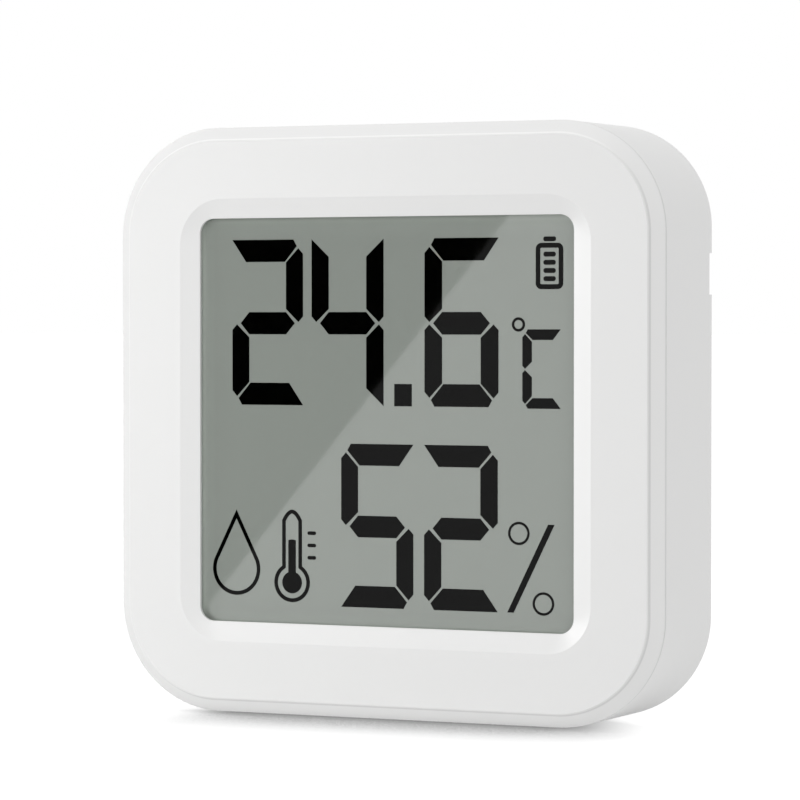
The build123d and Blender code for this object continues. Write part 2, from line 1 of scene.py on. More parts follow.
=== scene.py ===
# %% [markdown]
# # Small room sensor with a segment display
# The sensor is a white plastic box, 43 mm square and 12 mm deep, that stands on a shelf. The
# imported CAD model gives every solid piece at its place. This script adds what a solid model
# leaves out: the signs on the display, and the finish of each piece. The CAD pieces could be
# modelled again here, but their shapes are right already, so they only get better materials.

import math

import bpy
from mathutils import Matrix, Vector


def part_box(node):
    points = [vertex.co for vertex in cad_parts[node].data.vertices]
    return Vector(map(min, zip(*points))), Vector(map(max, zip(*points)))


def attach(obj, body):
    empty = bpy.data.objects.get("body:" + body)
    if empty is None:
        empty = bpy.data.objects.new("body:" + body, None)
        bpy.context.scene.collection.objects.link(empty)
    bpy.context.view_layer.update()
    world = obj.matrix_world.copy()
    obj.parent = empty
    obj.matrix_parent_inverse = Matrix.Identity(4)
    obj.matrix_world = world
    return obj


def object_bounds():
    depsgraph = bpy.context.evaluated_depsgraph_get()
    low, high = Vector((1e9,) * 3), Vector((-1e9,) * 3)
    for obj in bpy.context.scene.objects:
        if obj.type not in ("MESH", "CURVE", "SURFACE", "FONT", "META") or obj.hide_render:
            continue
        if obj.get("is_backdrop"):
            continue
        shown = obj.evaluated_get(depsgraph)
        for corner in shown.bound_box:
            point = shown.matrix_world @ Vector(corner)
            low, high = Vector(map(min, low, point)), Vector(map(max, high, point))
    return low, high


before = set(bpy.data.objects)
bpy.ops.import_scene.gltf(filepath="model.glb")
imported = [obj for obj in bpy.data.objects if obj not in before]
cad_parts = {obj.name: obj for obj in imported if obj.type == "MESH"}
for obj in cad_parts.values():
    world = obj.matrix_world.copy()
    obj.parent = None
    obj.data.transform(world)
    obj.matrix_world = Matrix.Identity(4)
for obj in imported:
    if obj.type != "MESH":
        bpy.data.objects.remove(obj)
cad_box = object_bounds()
MM = 0.001
SENSOR_MIDDLE = 21.5


def in_mm(lengths):
    """These lengths in millimetres, rounded for printing."""
    return [round(length / MM, 2) for length in lengths]


print("CAD nodes:", len(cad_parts), "box in mm:", in_mm(cad_box[1] - cad_box[0]))

# %% [markdown]
# ## Camera
# The photograph was taken with a long lens, a little from the right and from just above the
# middle of the sensor. A camera could be turned by eye until the outlines agree. Here its
# place comes from a fit of the photograph's straight edges to the real sizes, so that every
# edge falls on its own pixel.

# %% Camera at the photograph's place
CAMERA_PLACE = Vector((109.18, -243.64, 28.92)) * MM
VIEW_TURN = math.radians(24.365)
VIEW_DROP = math.radians(1.274)
LENS_LENGTH = 163.44

camera_turn = (math.pi / 2 - VIEW_DROP, 0, VIEW_TURN)
bpy.ops.object.camera_add(location=CAMERA_PLACE, rotation=camera_turn)
camera = bpy.context.object
camera.name = "photo_camera"
camera.data.lens = LENS_LENGTH
camera.data.clip_start = 10 * MM
camera.data.clip_end = 20.0
bpy.context.scene.camera = camera
bpy.context.scene.view_settings.view_transform = "Standard"
to_sensor = Vector((0, 0, SENSOR_MIDDLE * MM)) - CAMERA_PLACE
print("camera", round(to_sensor.length / MM), "mm away")

# %% [markdown]
# ## Helpers for shader maths
# A material is a graph of nodes. Wiring it by hand takes many lines, so one small class wraps
# a socket: a sum or product of two of them adds its Math node, and any other node comes from
# one method that sets the node first and then fills its sockets.


# %% Sockets that can be added and multiplied
class Signal:
    """One output socket of a material, with arithmetic."""

    def __init__(self, socket):
        self.socket = socket

    @staticmethod
    def add(tree, kind, settings, inputs, output=0):
        """Adds a node: its settings first, then the values or links of its sockets."""
        node = tree.nodes.new(kind)
        for name, value in settings.items():
            if name == "stops":
                while len(node.color_ramp.elements) < len(value):
                    node.color_ramp.elements.new(1.0)
                for stop, (place, tone) in zip(node.color_ramp.elements, value):
                    stop.position = place
                    stop.color = (tone, tone, tone, 1)
            else:
                setattr(node, name, value)
        for name, value in inputs.items():
            if isinstance(value, Signal):
                tree.links.new(value.socket, node.inputs[name])
            else:
                node.inputs[name].default_value = value
        return Signal(node.outputs[output])

    def maths(self, operation, first, second=0.0):
        """One Math node on two numbers or sockets."""
        tree = self.socket.id_data
        return Signal.add(tree, "ShaderNodeMath", {"operation": operation}, {0: first, 1: second})

    def at_least(self, low):
        return self.maths("MAXIMUM", self, low)

    def at_most(self, high):
        return self.maths("MINIMUM", self, high)

    def __add__(self, other):
        return self.maths("ADD", self, other)

    def __sub__(self, other):
        return self.maths("SUBTRACT", self, other)

    def __rsub__(self, other):
        return self.maths("SUBTRACT", other, self)

    def __mul__(self, other):
        return self.maths("MULTIPLY", self, other)

    def __gt__(self, other):
        return self.maths("GREATER_THAN", self, other)

    def __abs__(self):
        return self.maths("ABSOLUTE", self)

    __radd__ = __add__
    __rmul__ = __mul__


def empty_material(name):
    """A new material with nothing in it but its output."""
    material = bpy.data.materials.new(name)
    material.use_nodes = True
    material.node_tree.nodes.clear()
    return material, material.node_tree


def show(tree, shader, output="ShaderNodeOutputMaterial"):
    """Connects a finished shader to the output."""
    sink = tree.nodes.new(output)
    tree.links.new(shader.socket, sink.inputs["Surface"])


def show_principled(tree, inputs):
    """Connects one Principled shader with these inputs to the output."""
    show(tree, Signal.add(tree, "ShaderNodeBsdfPrincipled", {}, inputs))


def place_on_part(tree, axis=None):
    """Where the shaded point is on the part, in metres, or its distance along one axis."""
    place = Signal.add(tree, "ShaderNodeTexCoord", {}, {}, output="Object")
    if axis is None:
        return place
    return Signal.add(tree, "ShaderNodeSeparateXYZ", {}, {0: place}, output=axis)


def noise(tree, size, detail=2.0, where=None):
    """Smooth random values from 0 to 1 whose blotches are about this many millimetres wide."""
    where = where or place_on_part(tree)
    inputs = {"Vector": where, "Scale": 1 / (size * MM), "Detail": detail}
    return Signal.add(tree, "ShaderNodeTexNoise", {}, inputs)


def tones(tree, mask, first, second):
    """The first colour or socket where the mask is 0, and the second where it is 1."""
    first, second = (c if isinstance(c, Signal) else (*c, 1) for c in (first, second))
    inputs = {0: mask, 6: first, 7: second}
    return Signal.add(tree, "ShaderNodeMix", {"data_type": "RGBA"}, inputs, output=2)


def ramp(tree, place, stops):
    """A tone read from (place, tone) stops."""
    return Signal.add(tree, "ShaderNodeValToRGB", {"stops": stops}, {0: place})


def narrow_band(tree, distance, full, none):
    """1 up to the first distance in millimetres, and 0 beyond the second."""
    reach = {"From Min": full * MM, "From Max": none * MM, "To Min": 1.0, "To Max": 0.0}
    smooth = {"interpolation_type": "SMOOTHSTEP"}
    return Signal.add(tree, "ShaderNodeMapRange", smooth, {"Value": distance, **reach})


def vector_maths(tree, operation, first, second=(0, 0, 0), output="Vector"):
    """One Vector Math node."""
    inputs = {0: first, 1: second}
    return Signal.add(tree, "ShaderNodeVectorMath", {"operation": operation}, inputs, output)


def relief(tree, height, depth):
    """Normals for a surface that rises by this many millimetres where the height is 1."""
    inputs = {"Height": height, "Strength": 1.0, "Distance": depth * MM}
    return Signal.add(tree, "ShaderNodeBump", {}, inputs)


print("shader helpers ready")

# %% [markdown]
# ## White housing
# The front frame, the rear shell and the cover are moulded in one white plastic. Its surface
# is satin: the mould was lightly blasted, so the highlights are broad and soft. A plain white
# would look like paper, so the tone drifts by about one percent, the gloss changes slowly
# over the surface, and a very fine relief breaks up the highlights.
#
# Little light gets into the seam behind the face, so it gets a painted shade, a shade darker. The
# fine step round the face catches the light at the left and top, where a painted highlight makes
# it paler, and lies in shade at the right and bottom, where painted shade makes it darker. Both
# lines could be painted on a picture of the surface. Here the painted light and shade follow
# from distances: how far a point lies from the rounded square of the face, and how far behind the front.

# %% Painted light and shade of the step and the seam
FACE_HALF = 20.545
FACE_CORNER = 6.995
STEP_FOOT = 0.05
STEP_LINE = (0.02, 0.09)
STEP_BACK = -5.6
STEP_HIGHLIGHT_TO_SHADE = (-8.0, 8.0)
SEAM_PLACE = -5.025
SEAM_LINE = (0.08, 0.16)
SEAM_SHADE_SHARE = 0.8
# Painted shade and painted highlight, as shares of the plastic's colour.
PAINTED_SHADE = 0.85
PAINTED_HIGHLIGHT = 1.11


def painted_edge_light(tree, open_tone, colour):
    """The plastic's tone with a painted highlight and painted shade on the step round the face, and
    painted shade in the seam behind it.
    """
    shade = [c * PAINTED_SHADE for c in colour]
    shine = [c * PAINTED_HIGHLIGHT for c in colour]
    straight = (FACE_HALF - FACE_CORNER) * MM
    offset = vector_maths(tree, "SUBTRACT", place_on_part(tree), (0, 0, SENSOR_MIDDLE * MM))
    offset = vector_maths(tree, "ABSOLUTE", offset)
    # One metre off the depth makes it negative, so that only X and Z count in the length.
    past_straight = vector_maths(tree, "SUBTRACT", offset, (straight, 1, straight))
    past_straight = vector_maths(tree, "MAXIMUM", past_straight)
    reach = vector_maths(tree, "LENGTH", past_straight, output="Value")
    depth = place_on_part(tree, "Y")
    in_front = depth.maths("LESS_THAN", depth, STEP_BACK * MM)
    step = narrow_band(tree, abs(reach - (FACE_CORNER + STEP_FOOT) * MM), *STEP_LINE) * in_front
    # Painted highlight on the step towards the upper left, painted shade towards the lower right.
    up_left = place_on_part(tree, "Z") - SENSOR_MIDDLE * MM - place_on_part(tree, "X")
    step_painted_light = tones(tree, narrow_band(tree, up_left, *STEP_HIGHLIGHT_TO_SHADE), shine, shade)
    # Painted shade along the seam.
    seam = narrow_band(tree, abs(depth - SEAM_PLACE * MM), *SEAM_LINE)
    return tones(tree, SEAM_SHADE_SHARE * seam, tones(tree, step, open_tone, step_painted_light), shade)


# %% Satin moulded plastic
TONE_DRIFT = 0.012
PLASTIC_INDEX = 1.46


def moulded_plastic(name, colour, gloss, grain=0.12, depth=0.0006, edges=None):
    """Satin plastic: a colour that drifts a little, and a fine blasted relief, plus painted edge light
    and shade if edges is given.
    """
    material, tree = empty_material(name)
    darker = [c * (1 - TONE_DRIFT) for c in colour]
    open_tone = tones(tree, noise(tree, 9.0), darker, colour)
    inputs = {
        "Base Color": edges(tree, open_tone, colour) if edges else open_tone,
        "Roughness": gloss - 0.03 + 0.06 * noise(tree, 3.0),
        "Normal": relief(tree, noise(tree, grain, detail=1.0), depth),
        "IOR": PLASTIC_INDEX,
    }
    show_principled(tree, inputs)
    return material


# The housing's base colour carries a painted highlight and painted shade at the face step and the seam.
housing_white = moulded_plastic("housing_white", (0.87, 0.87, 0.865), 0.42, edges=painted_edge_light)
button_white = moulded_plastic("button_white", (0.80, 0.80, 0.80), 0.36)
holder_natural = moulded_plastic("holder_natural", (0.75, 0.75, 0.73), 0.5)
sensor_white = moulded_plastic("sensor_white", (0.70, 0.70, 0.68), 0.5, grain=0.05)
switch_black = moulded_plastic("switch_black", (0.03, 0.03, 0.03), 0.45, grain=0.06)
plunger_grey = moulded_plastic("plunger_grey", (0.30, 0.30, 0.30), 0.4, grain=0.06)
gasket_black = moulded_plastic("gasket_black", (0.10, 0.10, 0.10), 0.6, grain=0.08)
resin_black = moulded_plastic("resin_black", (0.012, 0.012, 0.013), 0.18, grain=1.5, depth=0.02)
print("moulded plastics:", housing_white.name, "and seven more")

# %% [markdown]
# ## Clear window
# A stepped plate of clear plastic fills the window. Real clear plastic both bends light and
# mirrors a little of it. The plate is thin and lies almost on the display, so bending moves
# nothing by more than a hair, and it would only add noise. So the plate lets light straight
# through. What it mirrors head on, and a little more, is given to the display right behind it,
# where the sum of both can be rendered without noise. The plate keeps only the share that it
# gains at a slant.

# %% Clear window plate
WINDOW_INDEX = 1.45
WINDOW_ROUGHNESS = 0.015
WINDOW_TINT = (0.985, 0.985, 0.985, 1)
GIVEN_TO_DISPLAY = 1.15
head_on = ((WINDOW_INDEX - 1) / (WINDOW_INDEX + 1)) ** 2
clear_window, tree = empty_material("clear_window")
back_face = Signal.add(tree, "ShaderNodeNewGeometry", {}, {}, output="Backfacing")
mirrored = Signal.add(tree, "ShaderNodeFresnel", {}, {"IOR": WINDOW_INDEX})
mirrored = (mirrored - GIVEN_TO_DISPLAY * head_on).at_least(0.0) * (1 - back_face)
clear = Signal.add(tree, "ShaderNodeBsdfTransparent", {}, {"Color": WINDOW_TINT})
mirror_inputs = {"Color": (1, 1, 1, 1), "Roughness": WINDOW_ROUGHNESS}
mirror = Signal.add(tree, "ShaderNodeBsdfGlossy", {}, mirror_inputs)
show(tree, Signal.add(tree, "ShaderNodeMixShader", {}, {0: mirrored, 1: clear, 2: mirror}))
print("head on, the plate would mirror", round(head_on * 100, 1), "%")

# %% [markdown]
# ## Display
# Behind the window is a reflective display: grey-green film over glass, with segments that
# turn black. The film is glossy, so it mirrors the bright room in one half of the window, and
# a dark card in the other, which gives the slanting edge of light across the display. The
# segments lie on the film as thin black plates that mirror much less.
#
# Bent light reaches the film more steeply than straight light does, so the rim of the window
# shades less of the real film than of this one. The film therefore carries painted light: it is
# painted paler within one or two millimetres of the left, top and lower rim, and most right at the
# left, where the unbent light leaves the deepest shade.

# %% Display film with painted rim light, glass and black segments
FILM_GREY = (0.327, 0.355, 0.324)
FILM_DRIFT = 0.015
FILM_INDEX = 1.81
PAINTED_LIGHT_GAIN = 2.4
WINDOW_HALF = 14.825
FADE_START, FADE_END = -0.2, 2.0
LEFT_RIM_LIGHT = [
    (-0.20, 0.85), (-0.06, 0.90), (0.02, 0.80), (0.10, 0.60), (0.19, 0.37),
    (0.27, 0.25), (0.36, 0.17), (0.53, 0.08), (0.78, 0.03), (1.00, 0.0),
]
TOP_RIM_LIGHT = [
    (0.0, 0.25), (0.19, 0.27), (0.27, 0.25), (0.35, 0.22), (0.42, 0.17),
    (0.58, 0.12), (0.81, 0.09), (1.10, 0.055), (1.50, 0.02), (2.00, 0.0),
]
LOW_RIM_LIGHT = [
    (0.0, 0.30), (0.12, 0.21), (0.19, 0.15), (0.27, 0.10),
    (0.42, 0.06), (0.70, 0.02), (1.00, 0.0),
]


def painted_rim_light(tree, inside, fade):
    """How much painted light brightens the film, from its distance inside one side of the window."""
    span = FADE_END - FADE_START
    share = (inside - FADE_START * MM) * (1 / (span * MM))
    return ramp(tree, share, [((place - FADE_START) / span, tone) for place, tone in fade])


display_film, tree = empty_material("display_film")
across, up = place_on_part(tree, "X"), place_on_part(tree, "Z") - SENSOR_MIDDLE * MM
half = WINDOW_HALF * MM
# Painted light: the film is paler near the left, top and lower rim, in place of light the rim shades
# off.
painted_light_share = painted_rim_light(tree, across + half, LEFT_RIM_LIGHT)
painted_light_share = painted_light_share + painted_rim_light(tree, half - up, TOP_RIM_LIGHT) + painted_rim_light(tree, up + half, LOW_RIM_LIGHT)
darker = [c * (1 - FILM_DRIFT) for c in FILM_GREY]
even_film = tones(tree, noise(tree, 14.0), darker, FILM_GREY)
inputs = {
    "Base Color": tones(tree, painted_light_share, even_film, [c * PAINTED_LIGHT_GAIN for c in FILM_GREY]),
    "Roughness": 0.014 + 0.006 * noise(tree, 6.0),
    "IOR": FILM_INDEX,
}
show_principled(tree, inputs)

display_glass, tree = empty_material("display_glass")
inputs = {
    "Base Color": tones(tree, noise(tree, 12.0), (0.83, 0.89, 0.86), (0.85, 0.90, 0.87)),
    "Roughness": 0.03 + 0.02 * noise(tree, 5.0),
    "Alpha": 0.35,
}
show_principled(tree, inputs)

segment_black, tree = empty_material("segment_black")
inputs = {
    "Base Color": tones(tree, noise(tree, 0.6), (0.0006, 0.0007, 0.0005), (0.0009, 0.0010, 0.0008)),
    "Roughness": 0.016 + 0.008 * noise(tree, 0.4),
    "Specular IOR Level": 0.17,
}
show_principled(tree, inputs)
print("display finishes:", display_film.name, display_glass.name, segment_black.name)

# %% [markdown]
# ## Metals
# The coin cell is satin nickel that was finished while it turned, so its brushing runs round
# the middle. The contacts, screws and the crystal's can are brushed along one direction. Both come from stretched noise that drives the roughness and a fine relief.


# %% Brushed metal, straight or round
BRUSH_ALONG, BRUSH_ACROSS, BRUSH_RINGS = 40.0, 2600.0, 5200.0


def brushed_metal(name, colour, gloss, middle=None):
    """Metal brushed along X, or round the given point of the back if there is one."""
    material, tree = empty_material(name)
    place = place_on_part(tree)
    if middle is None:
        where = vector_maths(tree, "MULTIPLY", place, (BRUSH_ALONG, BRUSH_ACROSS, BRUSH_ACROSS))
    else:
        flat = vector_maths(tree, "MULTIPLY", place, (1, 0, 1))
        flat = vector_maths(tree, "SUBTRACT", flat, (middle.x, 0, middle.z))
        radius = vector_maths(tree, "LENGTH", flat, output="Value")
        where = Signal.add(tree, "ShaderNodeCombineXYZ", {}, {"X": radius * BRUSH_RINGS})
    streak_inputs = {"Vector": where, "Scale": 1.0, "Detail": 3.0}
    streaks = Signal.add(tree, "ShaderNodeTexNoise", {}, streak_inputs)
    worn = [c * 0.93 for c in colour]
    inputs = {
        "Base Color": tones(tree, streaks, worn, colour),
        "Metallic": 1.0,
        "Roughness": gloss - 0.08 + 0.16 * streaks,
        "Normal": relief(tree, streaks, 0.0012),
    }
    show_principled(tree, inputs)
    return material


cell_low, cell_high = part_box("cell_can")
cell_middle = (cell_low + cell_high) / 2
cell_steel = brushed_metal("cell_steel", (0.72, 0.72, 0.71), 0.30, cell_middle)
screw_steel = brushed_metal("screw_steel", (0.60, 0.60, 0.60), 0.35)
spring_metal = brushed_metal("spring_metal", (0.70, 0.69, 0.66), 0.30)
bright_can = brushed_metal("bright_can", (0.75, 0.75, 0.74), 0.15)
gold_plate = brushed_metal("gold_plate", (0.83, 0.63, 0.28), 0.28)
print("cell middle in mm:", in_mm(cell_middle))

# %% [markdown]
# ## Board, strips and small parts
# The circuit board is green lacquer over copper tracks, which show as paler lines. The
# elastomer strips are striped, with a conducting layer every tenth of a millimetre. The small
# resistors and capacitors have tinned ends. All of these patterns follow the part's own
# coordinates, so they cost no geometry.

# %% Circuit board lacquer with tracks
TRACK_SCALE, TRACK_EDGE = 420.0, 0.42
board_lacquer, tree = empty_material("board_lacquer")
track_inputs = {"Vector": place_on_part(tree), "Scale": TRACK_SCALE, "Randomness": 0.0}
cells = Signal.add(tree, "ShaderNodeTexVoronoi", {"distance": "CHEBYCHEV"}, track_inputs)
tracks = cells > TRACK_EDGE
inputs = {
    "Base Color": tones(tree, tracks, (0.022, 0.135, 0.055), (0.045, 0.215, 0.085)),
    "Roughness": 0.28 + 0.1 * noise(tree, 1.2),
    "Normal": relief(tree, tracks, 0.015),
}
show_principled(tree, inputs)

# %% Striped elastomer and closed-cell foam
STRIPE_SCALE, PORE_SCALE = 3200.0, 5000.0
striped_elastomer, tree = empty_material("striped_elastomer")
stripe_inputs = {"Vector": place_on_part(tree), "Scale": STRIPE_SCALE, "Distortion": 0.0}
across_x = {"bands_direction": "X"}
stripes = Signal.add(tree, "ShaderNodeTexWave", across_x, stripe_inputs, output="Fac")
inputs = {
    "Base Color": tones(tree, stripes > 0.5, (0.62, 0.36, 0.41), (0.06, 0.05, 0.05)),
    "Roughness": 0.55 + 0.1 * noise(tree, 0.5),
}
show_principled(tree, inputs)

cell_foam, tree = empty_material("cell_foam")
pore_inputs = {"Vector": place_on_part(tree), "Scale": PORE_SCALE}
pores = Signal.add(tree, "ShaderNodeTexVoronoi", {}, pore_inputs)
inputs = {
    "Base Color": tones(tree, pores, (0.08, 0.08, 0.08), (0.14, 0.14, 0.14)),
    "Roughness": 0.8 + 0.1 * pores,
    "Normal": relief(tree, pores, 0.05),
}
show_principled(tree, inputs)
print("board, elastomer and foam ready")


# %% Resistors and capacitors with tinned ends
TINNED_END = 0.32


def tinned_block(name, node, colour):
    """A small ceramic block along Z with a tinned cap at each end."""
    low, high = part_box(node)
    material, tree = empty_material(name)
    from_middle = abs(place_on_part(tree, "Z") - (low.z + high.z) / 2)
    tin = from_middle > (high.z - low.z) / 2 - TINNED_END * MM
    inputs = {
        "Base Color": tones(tree, tin, colour, (0.72, 0.71, 0.69)),
        "Metallic": tin,
        "Roughness": 0.4 + 0.12 * noise(tree, 0.3),
    }
    show_principled(tree, inputs)
    return material


resistor_black = tinned_block("resistor_black", "resistors", (0.03, 0.03, 0.035))
capacitor_tan = tinned_block("capacitor_tan", "capacitors", (0.45, 0.33, 0.22))
print("tinned blocks ready")

# %% [markdown]
# ## Give each CAD piece its finish
# A CAD node keeps its mesh and its place. Only the material in its slot changes, which can be
# done by hand in the material tab, or as here from one table.

# %% Assign the finishes
FINISHES = {
    housing_white: ("front_bezel", "rear_shell", "rear_cover"),
    button_white: ("button_cap",),
    clear_window: ("window_lens",),
    display_film: ("front_polariser", "rear_polariser"),
    display_glass: ("lcd_front_glass", "lcd_rear_glass"),
    cell_foam: ("lcd_backing_foam",),
    holder_natural: ("lcd_holder",),
    striped_elastomer: ("upper_zebra_strip", "lower_zebra_strip"),
    gold_plate: ("board_contact_pads",),
    board_lacquer: ("circuit_board",),
    screw_steel: ("board_screws",),
    resin_black: ("controller_chip",),
    sensor_white: ("humidity_sensor",),
    bright_can: ("timing_crystal",),
    resistor_black: ("resistors",),
    capacitor_tan: ("capacitors",),
    switch_black: ("switch_body",),
    plunger_grey: ("switch_plunger",),
    spring_metal: ("battery_contact_negative", "battery_contact_positive"),
    cell_steel: ("cell_can", "cell_cap"),
    gasket_black: ("cell_gasket",),
}
dressed = set()
for material, nodes in FINISHES.items():
    for node in nodes:
        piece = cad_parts[node]
        piece.data.materials.clear()
        piece.data.materials.append(material)
        dressed.add(node)
print("dressed", len(dressed), "nodes, left plain:", sorted(set(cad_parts) - dressed))

# %% [markdown]
# ## Plates for the signs
# Each sign on the display is a set of flat black plates with straight or round edges. They
# could be text or curves, but the digits are built of seven bars with mitred ends that no
# font has. A plane is added at the size of each bar, and its corners are cut off in edit mode.

# %% Helpers for modelling in the display's plane
film_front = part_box("front_polariser")[0].y
body_middle = (cad_box[0] + cad_box[1]) / 2
PLATE_THICKNESS = 0.012
made_signs = []


def on_display(x, z):
    """A point of the display's surface, from millimetres right of and above its middle."""
    return Vector((x * MM, film_front, body_middle.z + z * MM))


def only(piece):
    """Selects this piece alone."""
    bpy.ops.object.select_all(action="DESELECT")
    piece.select_set(True)
    bpy.context.view_layer.objects.active = piece


def settle(piece):
    """Moves the object's place, turn and scale into its mesh."""
    only(piece)
    bpy.ops.object.transform_apply(location=True, rotation=True, scale=True)


def copy_of(piece, right, up):
    """A copy with a mesh of its own, moved by these millimetres."""
    only(piece)
    bpy.ops.object.duplicate(linked=False)
    copy = bpy.context.object
    copy.location = (right * MM, 0, up * MM)
    settle(copy)
    return copy


def new_plane(left, right, low, high):
    """A flat plane in the display's surface, facing the viewer, between these limits."""
    middle = on_display((left + right) / 2, (low + high) / 2)
    bpy.ops.object.select_all(action="DESELECT")
    bpy.ops.mesh.primitive_plane_add(size=1, location=middle, rotation=(math.pi / 2, 0, 0))
    piece = bpy.context.object
    piece.scale = ((right - left) * MM, (high - low) * MM, 1)
    settle(piece)
    return piece


def cut_off(piece, start, end):
    """Cuts off what lies to the left of the line from start to end."""
    first, second = on_display(*start), on_display(*end)
    along = (second - first).normalized()
    aside = (-along.z, 0, along.x)
    only(piece)
    bpy.ops.object.mode_set(mode="EDIT")
    bpy.ops.mesh.select_all(action="SELECT")
    bpy.ops.mesh.bisect(plane_co=first, plane_no=aside, clear_outer=True, threshold=1e-7)
    bpy.ops.object.mode_set(mode="OBJECT")


def finish_sign(name, pieces):
    """Joins flat pieces into one sign, gives it its thickness and fixes it to the housing."""
    bpy.ops.object.select_all(action="DESELECT")
    for piece in pieces:
        piece.select_set(True)
    sign = pieces[0]
    bpy.context.view_layer.objects.active = sign
    if len(pieces) > 1:
        bpy.ops.object.join()
    sign.name = name
    sign.data.name = name
    only(sign)
    bpy.ops.object.modifier_add(type="SOLIDIFY")
    sign.modifiers[-1].thickness = PLATE_THICKNESS * MM
    sign.modifiers[-1].offset = 1.0
    bpy.ops.object.modifier_apply(modifier=sign.modifiers[-1].name)
    sign.data.materials.clear()
    sign.data.materials.append(segment_black)
    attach(sign, "housing")
    made_signs.append(sign)


print("film front at y =", round(film_front / MM, 3), "mm")

# %% [markdown]
# ## Seven-segment digits
# A digit has three level bars and four upright ones. Where two bars meet, both end in a mitre
# with a thin gap. Where a bar's neighbour is off, its end runs out to the corner of the digit
# in one slant. The outline of each bar is written once in the digit's own corner, and mirrored
# for the other side or the lower half. A mitre is given by where it leaves the outer edge, its
# point, and where it meets the inner edge, all in millimetres for a digit of full size.

# %% Outline of each bar
LEVEL_OUTER, LEVEL_POINT, LEVEL_INNER = 0.775, (0.50, 0.48), 1.47
UPRIGHT_OUTER, UPRIGHT_POINT, UPRIGHT_INNER = 1.05, (0.38, 0.63), 1.67
WAIST_OUTER, WAIST_POINT, WAIST_INNER = 0.49, (0.375, 0.085), 1.04
MIDDLE_POINTS = (0.675, 0.665)
MIDDLE_DROP = 0.06
SLANT_LEVEL = 1.13
SLANT_UPRIGHT = 1.28
LIT_BARS = {
    "2": {"top": "free left", "right upper": "", "middle": "", "left lower": "", "bottom": "free right"},
    "4": {"left upper": "free", "right upper": "free", "middle": "", "right lower": "free"},
    "5": {"top": "free right", "left upper": "", "middle": "", "right lower": "", "bottom": "free left"},
    "6": {
        "top": "free right",
        "left upper": "",
        "middle": "",
        "left lower": "",
        "right lower": "",
        "bottom": "",
    },
    "C": {"top": "free right", "left upper": "", "left lower": "", "bottom": "free right"},
}


def level_end(free, level, detail):
    """The end of a top bar at its left, from the digit's top left corner, down and right."""
    if free:
        return [(0, 0), (SLANT_LEVEL * detail, level)]
    point = (LEVEL_POINT[0] * detail, LEVEL_POINT[1] * detail)
    return [(LEVEL_OUTER * detail, 0), point, (LEVEL_INNER * detail, level)]


def upright_bar(free, upright, middle, detail):
    """The upper left bar, from the digit's top left corner, down and right."""
    if free:
        top = [(0, 0), (upright, SLANT_UPRIGHT * detail)]
    else:
        point = (UPRIGHT_POINT[0] * detail, UPRIGHT_POINT[1] * detail)
        top = [(0, UPRIGHT_OUTER * detail), point, (upright, UPRIGHT_INNER * detail)]
    waist = [
        (upright, middle - WAIST_INNER * detail),
        (WAIST_POINT[0] * detail, middle - WAIST_POINT[1] * detail),
        (0, middle - WAIST_OUTER * detail),
    ]
    return top + waist


def bar_outline(bar, end, width, height, level, upright, detail):
    """The corners of one bar, in millimetres right of and below the digit's top left corner."""
    middle = height / 2 + MIDDLE_DROP * detail
    if bar == "middle":
        half = level / 2
        left = [(MIDDLE_POINTS[0] * detail, middle), (upright, middle - half)]
        right = [(width - upright, middle - half), (width - MIDDLE_POINTS[1] * detail, middle)]
        low = [(width - upright, middle + half), (upright, middle + half)]
        return left + right + low
    if bar in ("top", "bottom"):
        left = level_end("left" in end, level, detail)
        right = [(width - x, y) for x, y in level_end("right" in end, level, detail)]
        corners = left + right[::-1]
        flip = bar == "bottom"
    else:
        flip = bar.endswith("lower")
        corners = upright_bar("free" in end, upright, height - middle if flip else middle, detail)
        if bar.startswith("right"):
            corners = [(width - x, y) for x, y in corners]
    return [(x, height - y) for x, y in corners] if flip else corners


print("bars of a 6:", ", ".join(LIT_BARS["6"]))


# %% Cut a bar from a plane
def in_turn(corners):
    """The corners counter-clockwise about their middle, in millimetres right and up."""
    middle = sum((Vector(c) for c in corners), Vector((0, 0))) / len(corners)
    return sorted(corners, key=lambda c: math.atan2(c[1] - middle.y, c[0] - middle.x))


def plate(corners):
    """A flat plate with these corners: a plane of their size, with each slant edge cut."""
    corners = in_turn(corners)
    left, right = min(x for x, _ in corners), max(x for x, _ in corners)
    low, high = min(z for _, z in corners), max(z for _, z in corners)
    piece = new_plane(left, right, low, high)
    for start, end in zip(corners, corners[1:] + corners[:1]):
        slant = abs(start[0] - end[0]) > 1e-6 and abs(start[1] - end[1]) > 1e-6
        if slant:
            cut_off(piece, end, start)
    return piece


def digit(name, sign, left, top, width, height, level, upright, detail=1.0):
    """One digit or letter of bars, at the given corner of the display."""
    bars = []
    for bar, end in LIT_BARS[sign].items():
        outline = bar_outline(bar, end, width, height, level, upright, detail)
        bars.append(plate([(left + x, top - y) for x, y in outline]))
    finish_sign(name, bars)


UPPER_DIGITS = {"top": 13.24, "width": 5.77, "height": 12.10, "level": 1.62, "upright": 1.38}
LOWER_DIGITS = {"top": -1.62, "width": 5.75, "height": 11.88, "level": 1.57, "upright": 1.35}
digit("temperature_tens", "2", -12.47, **UPPER_DIGITS)
digit("temperature_ones", "4", -6.00, **UPPER_DIGITS)
digit("temperature_tenths", "6", 3.01, **UPPER_DIGITS)
digit("humidity_tens", "5", -3.62, **LOWER_DIGITS)
digit("humidity_ones", "2", 2.98, **LOWER_DIGITS)
digit("celsius_letter", "C", 10.62, 6.70, 2.93, 5.63, 0.75, 0.73, detail=0.53)
finish_sign("decimal_point", [new_plane(0.62, 2.01, 1.14, 2.75)])
print("signs so far:", len(made_signs))

